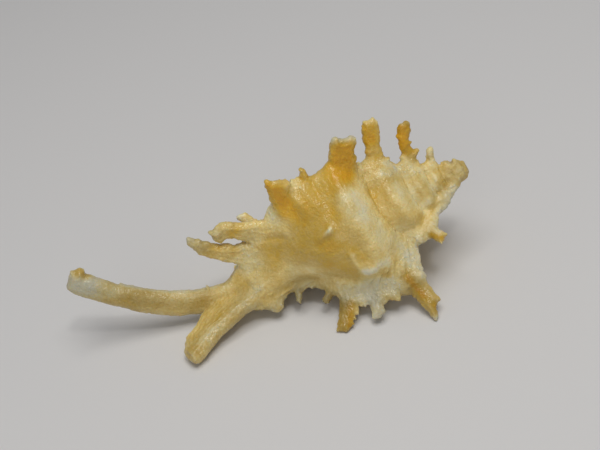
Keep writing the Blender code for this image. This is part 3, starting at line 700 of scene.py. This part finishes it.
def outline_table(outline):
    """Signed distance to an outline on a fine sheet of (along, out) points, negative inside."""
    points = np.array(outline)
    low = points.min(0) - TABLE_MARGIN
    high = points.max(0) + TABLE_MARGIN
    steps = [np.arange(low[i], high[i], TABLE_STEP) for i in (0, 1)]
    a, o = np.meshgrid(*steps, indexing="ij")
    nearest = np.full(a.shape, np.inf)
    inside = np.zeros(a.shape, bool)
    for p, q in zip(points, np.roll(points, -1, axis=0)):
        x, y, _ = from_segment(a, o, p, q)
        nearest = np.minimum(nearest, x ** 2 + y ** 2)
        crosses = (p[1] > o) != (q[1] > o)
        edge = q - p
        with np.errstate(divide="ignore", invalid="ignore"):
            inside ^= crosses & (a < p[0] + (o - p[1]) * edge[0] / edge[1])
    return low, np.sqrt(nearest) * np.where(inside, -1.0, 1.0)


def sheet_value(low, table, a, o):
    """Value of a sheet of (along, out) points at other points."""
    x = np.clip((a - low[0]) / TABLE_STEP, 0, table.shape[0] - 1.001)
    y = np.clip((o - low[1]) / TABLE_STEP, 0, table.shape[1] - 1.001)
    i, j = x.astype(int), y.astype(int)
    f, g = x - i, y - j
    return ((table[i, j] * (1 - f) + table[i + 1, j] * f) * (1 - g)
            + (table[i, j + 1] * (1 - f) + table[i + 1, j + 1] * f) * g)


def plane_box(turn, low, high, reach):
    """Grid cells near a flat patch in the plane of a turn, from (along, out) low to high."""
    c, s = math.cos(math.radians(turn)), math.sin(math.radians(turn))
    ups = [low[1] * c, high[1] * c]
    sides = [low[1] * s, high[1] * s]
    return box_slices((low[0] - reach, min(ups) - reach, min(sides) - reach),
                      (high[0] + reach, max(ups) + reach, max(sides) + reach))


def in_plane(rows, turn):
    """Distance along, distance out and distance to the old side of the plane of a turn."""
    a, u, s = axes_of(rows)
    c, d = math.cos(math.radians(turn)), math.sin(math.radians(turn))
    return a, u * c + s * d, s * c - u * d


def add_blade(field, blade):
    """A blade of even thickness with rounded edges, and fine ridges that follow its edges."""
    low, table = outline_table(blade.outline)
    points = np.array(blade.outline)
    rows = plane_box(blade.turn, points.min(0), points.max(0), PLANE_REACH + blade.root_blend)
    a, out, past = np.broadcast_arrays(*in_plane(rows, blade.turn))
    depth = sheet_value(low, table, a, out)
    depth = depth + WANDER * lattice_noise(21, a * WANDER_SCALE, out * WANDER_SCALE)
    teeth = lattice_noise(23, a * TOOTH_SCALE, out * TOOTH_SCALE, past * TOOTH_SCALE_ACROSS)
    near_root = rising(blade.soft_until - a, SOFT_FADE)
    sharp = (1.0 - near_root) * np.clip(1.0 + depth / TOOTH_DEPTH, 0.0, 1.0)
    depth = depth - blade.teeth * np.maximum(teeth, -0.2) * sharp
    waves = np.cos(2.0 * math.pi * depth / RIDGE_PITCH + RIDGE_WAVINESS * teeth)
    ridge = blade.ridges * (1.0 - near_root) * waves
    across = past * (blade.rounding / blade.half_thickness)
    value = np.hypot(np.maximum(depth + blade.rounding, 0.0), across) - blade.rounding - ridge
    blend = blade.blend + np.maximum(blade.root_blend - blade.blend, 0.0) * near_root
    field[rows] = smooth_union(field[rows], value.astype(np.float32), blend.astype(np.float32))


def shell_vector(along, out, turn):
    """A point in the grid's directions."""
    angle = math.radians(turn)
    return np.array((along, out * math.cos(angle), out * math.sin(angle)))


def add_spine(field, spine):
    """A tapering spine with a cut-off, uneven tip and notched edges."""
    root = shell_vector(*spine.root, spine.turn)
    tip = shell_vector(*spine.tip, spine.tip_turn)
    reach = spine.root_width
    rows = box_slices(np.minimum(root, tip) - reach, np.maximum(root, tip) + reach)
    a, u, s = axes_of(rows)
    length = np.linalg.norm(tip - root)
    ahead = (tip - root) / length
    normal = shell_vector(0.0, 1.0, 0.5 * (spine.turn + spine.tip_turn) + 90.0)
    across = np.cross(normal, ahead)
    across /= np.linalg.norm(across)
    normal = np.cross(ahead, across)
    offset = (a - root[0], u - root[1], s - root[2])
    t, w, n = (offset[0] * way[0] + offset[1] * way[1] + offset[2] * way[2]
               for way in (ahead, across, normal))
    share = rising(t, length)
    half = 0.5 * (spine.root_width + (spine.tip_width - spine.root_width) * share)
    teeth = lattice_noise(int(spine.turn) % 97, t * 1.9, np.sign(w) * 3.3 + 0 * t)
    half = half + SPINE_TEETH * teeth * share
    thick = 0.5 * spine.thickness * (1.0 - 0.2 * share)
    value = (np.hypot(w / half, n / thick) - 1.0) * np.minimum(half, thick)
    uneven = TIP_UNEVENNESS * lattice_noise(int(spine.turn) % 89, w * 1.4)
    value = -smooth_union(-value, length + uneven - t, TIP_ROUNDING)
    field[rows] = smooth_union(field[rows], value.astype(np.float32), ROOT_BLEND)


def cut_groove(field, groove, half_thickness=0.62, root_share=0.35):
    """Takes a channel out of the young side of a spine."""
    low = np.minimum(groove.root, groove.tip)
    high = np.maximum(groove.root, groove.tip)
    rows = plane_box(groove.turn, low, high, PLANE_REACH)
    a, out, past = in_plane(rows, groove.turn)
    x, y, share = from_segment(a, out, np.array(groove.root), np.array(groove.tip))
    radius = 0.5 * groove.width * np.minimum(root_share + GROOVE_FLARE * share, 1.0)
    value = np.hypot(np.hypot(x, y), past + half_thickness) - radius
    field[rows] = smooth_cut(field[rows], value.astype(np.float32), GROOVE_ROUNDING)


def mouth_field(a, u, s):
    """Distance-like field of the hollow that follows the whorl back from the mouth."""
    out = np.hypot(u, s)
    turn = (np.degrees(np.arctan2(s, u)) - MOUTH_FIRST_TURN) % FULL_TURN + MOUTH_FIRST_TURN
    share = rising(turn - MOUTH_FIRST_TURN, MOUTH_LAST_TURN - MOUTH_FIRST_TURN)
    size = growth(turn) / growth(LIP_TURN)
    narrowing = np.sqrt(np.maximum(1.0 - share ** 3, 0.02))
    x = (a - MOUTH_ALONG * size) / (MOUTH_HALF_LENGTH * size * narrowing)
    y = (out - MOUTH_OUT * size) / (MOUTH_HALF_WIDTH * size * narrowing)
    value = (np.hypot(x, y) - 1.0) * MOUTH_HALF_WIDTH * size * narrowing
    return np.where(turn < MOUTH_LAST_TURN, value, FAR), turn


def add_mouth(field):
    """The rim round the mouth, then the hollow behind it."""
    rows = box_slices(*MOUTH_BOX)
    a, u, s = axes_of(rows)
    hollow, turn = mouth_field(a, u, s)
    out = np.hypot(u, s)
    past = out * np.sin(np.radians(turn - LIP_TURN))
    angle = np.arctan2(out - MOUTH_OUT, a - MOUTH_ALONG)
    crimp = CRIMP_HEIGHT * np.cos(CRIMPS * angle)
    rim = np.hypot(hollow - RIM_OFFSET, past + 0.1) - RIM_RADIUS - crimp
    rim = np.where(np.abs(turn - LIP_TURN) < RIM_REACH, rim, FAR)
    joined = smooth_union(field[rows], rim.astype(np.float32), 0.35)
    field[rows] = smooth_cut(joined, hollow.astype(np.float32), 0.25)


def cut_apex_notch(field):
    """Takes a notch out of the top of the apex, from its front to its back."""
    for past in (-0.7, -0.35, 0.0, 0.35, 0.7):
        cut_groove(field, APEX_NOTCH, past, 1.0)


def shell_field():
    """The whole shell as one field."""
    field = np.full([len(axis) for axis in AXES], FAR, np.float32)
    add_whorls(field)
    for blade in BLADES:
        add_blade(field, blade)
    for spine in SPINES:
        add_spine(field, spine)
    for groove in GROOVES:
        cut_groove(field, groove)
    for groove in CANAL_SLIT:
        cut_groove(field, groove, 1.2, 1.0)
    cut_apex_notch(field)
    add_mouth(field)
    fill_pinches(field)
    return field


def fill_pinches(field):
    """Fills the spots where two sheets of the surface would touch along a line."""
    for _ in range(PINCH_ROUNDS):
        found = 0
        for first, second in ((0, 1), (0, 2), (1, 2)):
            corners = []
            for i, j in ((0, 0), (1, 0), (0, 1), (1, 1)):
                rows = [slice(None)] * 3
                rows[first] = slice(1, None) if i else slice(0, -1)
                rows[second] = slice(1, None) if j else slice(0, -1)
                corners.append(field[tuple(rows)])
            a, b, c, d = (corner < 0.0 for corner in corners)
            pinched = (a == d) & (b == c) & (a != b)
            found += np.count_nonzero(pinched)
            for corner in corners:
                corner[pinched] = np.minimum(corner[pinched], -PINCH_FILL)
        if not found:
            break


CORNERS = [(i, j, k) for i in (0, 1) for j in (0, 1) for k in (0, 1)]


def at_corner(array, corner):
    """An array's values at one corner of every cell."""
    return array[tuple(slice(c, c + n - 1) for c, n in zip(corner, array.shape))]


def cell_points(field, cells):
    """In each cell, the mean of the spots where its edges cross the surface."""
    values = {c: field[tuple((cells + c).T)] for c in CORNERS}
    total = np.zeros((len(cells), 3))
    crossings = np.zeros(len(cells))
    for c in CORNERS:
        for axis in range(3):
            if c[axis] == 1:
                continue
            d = tuple(1 if i == axis else c[i] for i in range(3))
            start, end = values[c], values[d]
            crossed = (start < 0.0) != (end < 0.0)
            share = np.where(crossed, start / np.where(crossed, start - end, 1.0), 0.0)
            point = np.tile(np.array(c, float), (len(cells), 1))
            point[:, axis] = share
            total += point * crossed[:, None]
            crossings += crossed
    return (cells + total / crossings[:, None]) * CELL + np.array([axis[0] for axis in AXES])


def faces_across(inside, number, axis):
    """Faces through the grid's edges along one axis, each between the four cells round its edge."""
    b, c = (axis + 1) % 3, (axis + 2) % 3
    ahead = [slice(None)] * 3
    behind = [slice(None)] * 3
    ahead[axis], behind[axis] = slice(1, None), slice(None, -1)
    first, second = inside[tuple(behind)], inside[tuple(ahead)]
    edges = np.argwhere(first != second)
    edges = edges[(edges[:, b] > 0) & (edges[:, c] > 0)
                  & (edges[:, b] < number.shape[b]) & (edges[:, c] < number.shape[c])]
    step_b, step_c = np.eye(3, dtype=int)[b], np.eye(3, dtype=int)[c]
    ring = [edges - step_b - step_c, edges - step_c, edges, edges - step_b]
    quads = np.stack([number[tuple(r.T)] for r in ring], axis=1)
    outward = first[tuple(edges.T)]
    quads[~outward] = quads[~outward][:, ::-1]
    return quads


def surface_of(field):
    """Points and four-sided faces of the surface where a field crosses zero."""
    inside = field < 0.0
    count = np.zeros([n - 1 for n in field.shape], np.int8)
    for corner in CORNERS:
        count += at_corner(inside, corner)
    cells = np.argwhere((count > 0) & (count < len(CORNERS)))
    number = np.full(count.shape, -1, np.int32)
    number[tuple(cells.T)] = np.arange(len(cells))
    faces = [faces_across(inside, number, axis) for axis in range(3)]
    return cell_points(field, cells), np.concatenate(faces)


def to_world(points):
    """Grid points in the part's own frame, in metres."""
    along, up, side = points.T
    c, s = math.cos(AXIS_RISE), math.sin(AXIS_RISE)
    x = APEX[0] - along * c - up * s
    y = APEX[1] - side
    z = APEX[2] - along * s + up * c
    return np.stack([x, y, z], axis=1) * MM


def smoothed(values, edges, count, rounds):
    """Values at the points, averaged with those of their neighbours a number of times."""
    degree = np.bincount(edges.ravel(), minlength=count)[:, None]
    for _ in range(rounds):
        total = np.stack([np.bincount(edges[:, 0], values[edges[:, 1], i], count)
                          + np.bincount(edges[:, 1], values[edges[:, 0], i], count)
                          for i in range(values.shape[1])], axis=1)
        values = 0.5 * values + 0.5 * total / degree
    return values


def normals_of(points, quads):
    """Outward direction at each point."""
    a = points[quads[:, 2]] - points[quads[:, 0]]
    b = points[quads[:, 3]] - points[quads[:, 1]]
    faces = np.repeat(np.cross(a, b), 4, axis=0)
    total = np.stack([np.bincount(quads.ravel(), faces[:, i], len(points)) for i in range(3)], axis=1)
    return total / np.maximum(np.linalg.norm(total, axis=1), 1e-9)[:, None]


def canal_smoothness(along, turn):
    """From 1 on the long canal to 0 on the rest of the shell."""
    return rising(along - CANAL_START, 3.0) * (1.0 - hump(turn, OLD_CANAL_TURN, 24.0))


def on_spines(along, out):
    """From 0 on the whorls and crests of the varices to 1 on the spines, which are smooth."""
    return rising(out - interpolate(SPINE_ROOTS, along), 0.8)


def worn_spire(along):
    """From 1 at the apex to 0 on the larger whorls."""
    return rising(7.0 - along, 4.5)


def ruggedness(points):
    """From 1 on the rough varices and spire to 0 on the smooth whorls."""
    along, up, side = points.T
    turn = np.degrees(np.arctan2(side, up))
    rugged = hump(turn, *TOP_BAND)
    rugged += hump(turn, *FRONT_BAND) * (0.3 + 0.7 * rising(17.0 - along, 3.0))
    rugged += hump(turn, *SPIRE_BAND) * (along < 12.0)
    rugged += hump(turn, *LIP_BAND)
    rugged += worn_spire(along)
    rugged += hump(along, *NECK_BAND)
    rugged += hump(turn, OLD_CANAL_TURN, 16.0) * (along > 30.0)
    smooth = np.maximum(canal_smoothness(along, turn), on_spines(along, np.hypot(up, side)))
    return np.minimum(rugged, 1.0) * (1.0 - 0.7 * smooth)


def roughened(points, normals):
    """Points moved in and out by the lumps and grains of an old shell."""
    along, up, side = points.T
    shares = (worn_spire(along), worn_spire(along), ruggedness(points))
    height = 0.0
    for (seed, size, least, more), share in zip(RELIEF, shares):
        height += (least + more * share) * spot_noise(seed, points, size)
    canal = 1.0 - 0.7 * canal_smoothness(along, np.degrees(np.arctan2(side, up)))
    return points + (height * canal)[:, None] * normals


def edges_of(quads):
    """Each side of each face once."""
    sides = np.concatenate([quads[:, [i, (i + 1) % 4]] for i in range(4)])
    return np.unique(np.sort(sides, axis=1), axis=0)


def closeness(points, start, end, width):
    """How near the points are to a mark's line, from 1 on it to 0 well away."""
    start, end = shell_vector(*start), shell_vector(*end)
    run = end - start
    share = np.clip((points - start) @ run / max(run @ run, 1e-6), 0.0, 1.0)
    distance = np.linalg.norm(points - start - share[:, None] * run, axis=1)
    return np.exp(-(distance / (MARK_SPREAD * width)) ** MARK_FALL)


def tone_and_painted_shade(points):
    """The shell colour's tone at each point, slightly uneven, times the painted shade and painted light.
    """
    shade_and_tone = 1.0 + 0.06 * spot_noise(45, points, 1.2)
    for start, end, width, value in PAINTED_LIGHT_AND_SHADE:
        shade_and_tone *= 1.0 + (value - 1.0) * closeness(points, start, end, width)
    return shade_and_tone


def colour_warmth(points, normals, quads):
    """Warmth of the shell's colour at each point, from white at 0 to deep orange at 1."""
    warmth = BASE_WARMTH + 0.14 * spot_noise(41, points, 5.0)
    for start, end, width, value in FAR_STREAKS + STREAKS:
        warmth = warmth + (value - warmth) * STREAK_COVER * closeness(points, start, end, width)
    level = smoothed(points, edges_of(quads), len(points), LEVEL_ROUNDS)
    crest = np.clip(((points - level) * normals).sum(axis=1) / CREST_HEIGHT, -1.0, 1.0)
    return warmth + 0.11 * spot_noise(43, points, 1.8) - 0.12 * crest


def make_shell():
    """The shell's mesh, with its colour and roughness as values on its points."""
    points, quads = surface_of(shell_field())
    points = roughened(points, normals_of(points, quads))
    warmth = colour_warmth(points, normals_of(points, quads), quads)
    world = to_world(points)
    lowest = max(CAD_BOX[0][2], 0.0)
    world[:, 2] = np.maximum(world[:, 2], lowest)
    mesh = bpy.data.meshes.new("murex_surface")
    mesh.from_pydata(world.tolist(), [], quads[:, ::-1].tolist())
    mesh.validate()
    mesh.polygons.foreach_set("use_smooth", np.ones(len(mesh.polygons), bool))
    turn = np.degrees(np.arctan2(points[:, 2], points[:, 1])) - LIP_TURN
    # The points carry their painted shade and light, with an uneven tone, for the material.
    fields = {"warmth": warmth, "shade_and_tone": tone_and_painted_shade(points), "along": points[:, 0],
              "turn": turn % FULL_TURN, "rugged": ruggedness(points)}
    for name, values in fields.items():
        attribute = mesh.attributes.new(name, "FLOAT", "POINT")
        attribute.data.foreach_set("value", values.astype(np.float32))
    shell = bpy.data.objects.new("murex_surface", mesh)
    bpy.context.scene.collection.objects.link(shell)
    if 2 * len(quads) > MOST_TRIANGLES:
        thin_out(shell, MOST_TRIANGLES / (2 * len(quads)))
    return shell


def thin_out(item, share):
    """Joins the smallest faces of an object until a share of its triangles is left."""
    fewer = item.modifiers.new("fewer", "DECIMATE")
    fewer.ratio = share
    bpy.context.view_layer.objects.active = item
    item.select_set(True)
    bpy.ops.object.modifier_apply(modifier=fewer.name)


# Colours of the shell by warmth, linear.
WARMTH_COLOURS = (
    (0.00, (0.84, 0.80, 0.58)),
    (0.15, (0.86, 0.77, 0.48)),
    (0.30, (0.86, 0.72, 0.345)),
    (0.45, (0.80, 0.61, 0.22)),
    (0.60, (0.70, 0.49, 0.13)),
    (0.75, (0.68, 0.44, 0.062)),
    (0.90, (0.71, 0.415, 0.031)),
    (1.00, (0.70, 0.37, 0.014)),
)

# The same over the whole shell: a waxy coat, and light that spreads under the surface.
SHELL_SURFACE = {
    "Specular IOR Level": 0.35,
    "Coat Weight": 0.4,
    "Coat Roughness": 0.12,
    "Subsurface Weight": 0.25,
    "Subsurface Radius": (1.0, 0.6, 0.3),
    "Subsurface Scale": 0.0008,
}

# How fine the marks in the shell's colour and gloss are, in grains to a metre.
MOTTLE_SCALE = 900.0
GRAIN_SCALE = 1500.0
GLINT_FLECK_SCALE = 2400.0
SPECK_SCALE = 3600.0


def colour_stops(stops):
    """Puts the colours of the shell on a ramp that has two stops."""
    stops.remove(stops[1])
    for i, (at, colour) in enumerate(WARMTH_COLOURS):
        stop = stops[0] if i == 0 else stops.new(at)
        stop.position = at
        stop.color = colour + (1.0,)


def shell_material():
    """Waxy shell: streaks, mottling, painted shade and glints, and bumps from grains, wrinkles and spiral
    lines.
    """
    material = bpy.data.materials.new("waxy_shell")
    material.use_nodes = True
    nodes, links = material.node_tree.nodes, material.node_tree.links
    surface = nodes["Principled BSDF"]
    place = nodes.new("ShaderNodeTexCoord").outputs["Object"]

    def attribute(name):
        node = nodes.new("ShaderNodeAttribute")
        node.attribute_name = name
        return node.outputs["Fac"]

    def math_node(operation, *values):
        node = nodes.new("ShaderNodeMath")
        node.operation = operation
        for socket, value in zip(node.inputs, values):
            if isinstance(value, (int, float)):
                socket.default_value = value
            else:
                links.new(value, socket)
        return node.outputs[0]

    def noise(scale, detail, vector):
        node = nodes.new("ShaderNodeTexNoise")
        node.inputs["Scale"].default_value = scale
        node.inputs["Detail"].default_value = detail
        links.new(vector, node.inputs["Vector"])
        return node.outputs["Fac"]

    def stretched(along_scale, turn_scale):
        node = nodes.new("ShaderNodeCombineXYZ")
        links.new(math_node("MULTIPLY", attribute("along"), along_scale), node.inputs["X"])
        links.new(math_node("MULTIPLY", attribute("turn"), turn_scale), node.inputs["Y"])
        return node.outputs["Vector"]

    def layered(base, *layers):
        for layer, share in layers:
            base = math_node("MULTIPLY_ADD", layer, share, base)
        return base

    mottle = noise(MOTTLE_SCALE, 3.0, place)
    specks = noise(SPECK_SCALE, 1.0, place)
    spiral = noise(1.0, 2.0, stretched(4.5, 0.06))
    lines = noise(1.0, 1.0, stretched(0.7, 0.8))
    warmth = layered(attribute("warmth"), (mottle, 0.36), (specks, 0.2), (spiral, 0.08))
    # Pale flecks on the rough, pale parts: painted glints in the colour, and also glossier and raised.
    glint_flecks = math_node("MULTIPLY_ADD", noise(GLINT_FLECK_SCALE, 2.0, place), 9.0, -5.2)
    glint_flecks = math_node("MINIMUM", math_node("MAXIMUM", glint_flecks, 0.0), 1.0)
    pale = math_node("MAXIMUM", math_node("MULTIPLY_ADD", attribute("warmth"), -1.3, 1.15), 0.0)
    glint_flecks = math_node("MULTIPLY", glint_flecks, math_node("MULTIPLY_ADD", attribute("rugged"), 0.9, 0.06))
    glint_flecks = math_node("MULTIPLY", glint_flecks, pale)
    warmth = math_node("ADD", layered(warmth, (glint_flecks, -0.28)), -0.30)
    ramp = nodes.new("ShaderNodeValToRGB")
    colour_stops(ramp.color_ramp.elements)
    links.new(warmth, ramp.inputs["Fac"])
    # The painted shade and light on the points darkens or lightens the ramp's colour.
    shade = nodes.new("ShaderNodeMix")
    shade.data_type = "RGBA"
    shade.blend_type = "MULTIPLY"
    shade.inputs["Factor"].default_value = 1.0
    links.new(ramp.outputs["Color"], shade.inputs[6])
    links.new(attribute("shade_and_tone"), shade.inputs[7])
    links.new(shade.outputs[2], surface.inputs["Base Color"])
    roughness = layered(0.28, (mottle, 0.3), (glint_flecks, -0.2))
    links.new(roughness, surface.inputs["Roughness"])
    height = math_node("MULTIPLY", noise(GRAIN_SCALE, 3.0, place), 0.6)
    height = layered(height, (specks, 0.55), (glint_flecks, 0.5), (spiral, 0.15), (lines, 0.2))
    bump = nodes.new("ShaderNodeBump")
    bump.inputs["Strength"].default_value = 0.8
    bump.inputs["Distance"].default_value = 0.0002
    links.new(height, bump.inputs["Height"])
    links.new(bump.outputs["Normal"], surface.inputs["Normal"])
    links.new(bump.outputs["Normal"], surface.inputs["Coat Normal"])
    for name, value in SHELL_SURFACE.items():
        surface.inputs[name].default_value = value
    return material


FLOOR_SIZE = 2.0
FLOOR_COLOUR = (0.70, 0.69, 0.68, 1.0)
FLOOR_ROUGHNESS = 0.9


def make_floor():
    """A pale plane under the shell, for looking only."""
    bpy.ops.mesh.primitive_plane_add(size=FLOOR_SIZE, location=(0.0, 0.0, 0.0))
    floor = bpy.context.active_object
    floor.name = "floor"
    material = bpy.data.materials.new("pale_floor")
    material.use_nodes = True
    surface = material.node_tree.nodes["Principled BSDF"]
    surface.inputs["Base Color"].default_value = FLOOR_COLOUR
    surface.inputs["Roughness"].default_value = FLOOR_ROUGHNESS
    floor.data.materials.append(material)


# The camera looks down at about 37 degrees and is rolled about 13: its right, its up and its back, and
# its place from the apex. Focal length and picture width are in millimetres, its nearest view in metres.
CAMERA_AXES = (
    (0.95506, -0.23576, -0.17965),
    (0.28459, 0.55988, 0.77817),
    (-0.08287, -0.79432, 0.60182),
)
CAMERA_PLACE = (-31.8302, -104.0796, 77.5807)
CAMERA_LENS = 66.0
CAMERA_WIDTH = 36.0
CAMERA_NEAREST = 0.005


def make_camera():
    """A camera that sees the shell as the photograph does."""
    camera = bpy.data.cameras.new("camera")
    camera.sensor_width = CAMERA_WIDTH
    camera.lens = CAMERA_LENS
    camera.clip_start = CAMERA_NEAREST
    item = bpy.data.objects.new("camera", camera)
    bpy.context.scene.collection.objects.link(item)
    place = (Vector(APEX) + Vector(CAMERA_PLACE)) * MM
    columns = CAMERA_AXES + (place,)
    rows = [[column[i] for column in columns] for i in range(3)]
    item.matrix_world = Matrix(rows + [[0.0, 0.0, 0.0, 1.0]])
    bpy.context.scene.camera = item


# Lamps: name, place and size in metres, power in watts, and colour. They face the middle of the floor.
LAMPS = (
    ("key", (0.02, -0.05, 0.36), 0.24, 0.64, (1.0, 0.98, 0.95)),
    ("lamp", (0.05, -0.12, 0.30), 0.035, 0.10, (1.0, 0.99, 0.97)),
    ("fill", (-0.12, -0.34, 0.22), 0.24, 0.20, (0.97, 0.98, 1.0)),
)
SKY_COLOUR = (0.9, 0.93, 1.0, 1.0)
SKY_STRENGTH = 0.2


def make_light(name, place, size, power, colour):
    """A square lamp that faces the middle of the floor."""
    light = bpy.data.lights.new(name, "AREA")
    light.size = size
    light.energy = power
    light.color = colour
    item = bpy.data.objects.new(name, light)
    item.location = place
    item.rotation_euler = (-Vector(place)).to_track_quat("-Z", "Y").to_euler()
    bpy.context.scene.collection.objects.link(item)


def make_sky():
    """Even light from all round."""
    world = bpy.context.scene.world or bpy.data.worlds.new("world")
    bpy.context.scene.world = world
    world.use_nodes = True
    background = world.node_tree.nodes["Background"]
    background.inputs["Color"].default_value = SKY_COLOUR
    background.inputs["Strength"].default_value = SKY_STRENGTH


bpy.context.scene.view_settings.view_transform = "Standard"
shell = make_shell()
shell.data.materials.append(shell_material())
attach(shell, "root")
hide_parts("murex_shell")
make_floor()
make_camera()
for lamp in LAMPS:
    make_light(*lamp)
make_sky()
